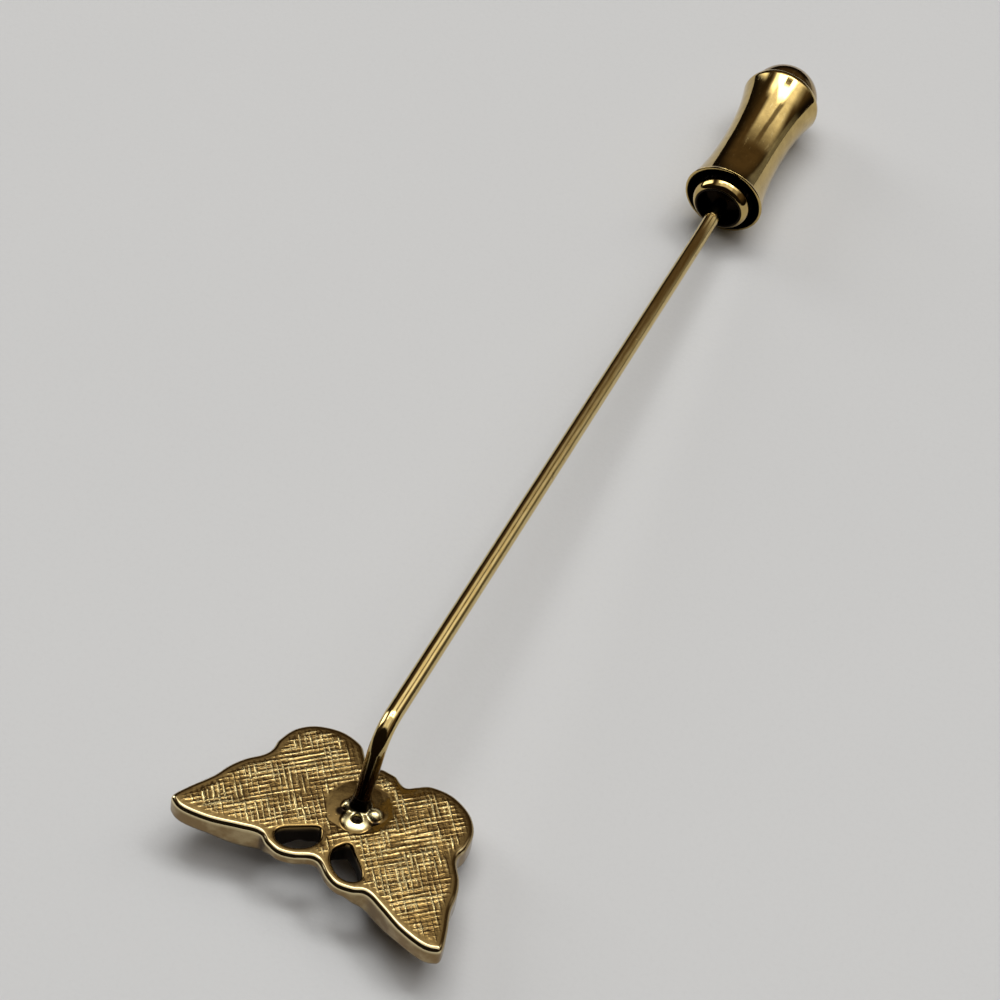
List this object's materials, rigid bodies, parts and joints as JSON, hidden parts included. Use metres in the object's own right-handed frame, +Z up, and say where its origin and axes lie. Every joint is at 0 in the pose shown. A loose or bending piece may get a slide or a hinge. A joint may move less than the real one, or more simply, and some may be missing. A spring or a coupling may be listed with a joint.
{
  "type": "stick pin",
  "caption": "Stick pin with a pierced butterfly head, a bent wire soldered to its back and a sliding spool-shaped clutch that guards the point.",
  "frame": {"origin": "bottom centre of the bounding box, on the surface that the pin lies on, face down", "axes": "+Y along the wire from the butterfly to the clutch, +Z up from the surface, the butterfly's back facing up"},
  "size_m": [0.0174, 0.0726, 0.0077],
  "materials": {
    "polished_gold": "gold-plated, polished edges, brushed back",
    "clutch_gold": "gold-plated, polished"
  },
  "bodies": {
    "pin": {"butterfly_pin": "polished_gold"},
    "clutch": {"clutch_collar": "clutch_gold", "clutch_knob": "clutch_gold"},
    "sleeve": {"clutch_sleeve": "clutch_gold"}
  },
  "joints": [
    {"name": "clutch_slide", "type": "slide", "parent": "pin", "child": "clutch", "axis": [0, 1, -0.0027], "range_m": [0, 0.012]},
    {"name": "sleeve_slide", "type": "slide", "parent": "clutch", "child": "sleeve", "axis": [0, 1, -0.0027], "range_m": [0, 0.0006], "stiffness_N_per_m": 100, "springref_m": -0.0005}
  ]
}
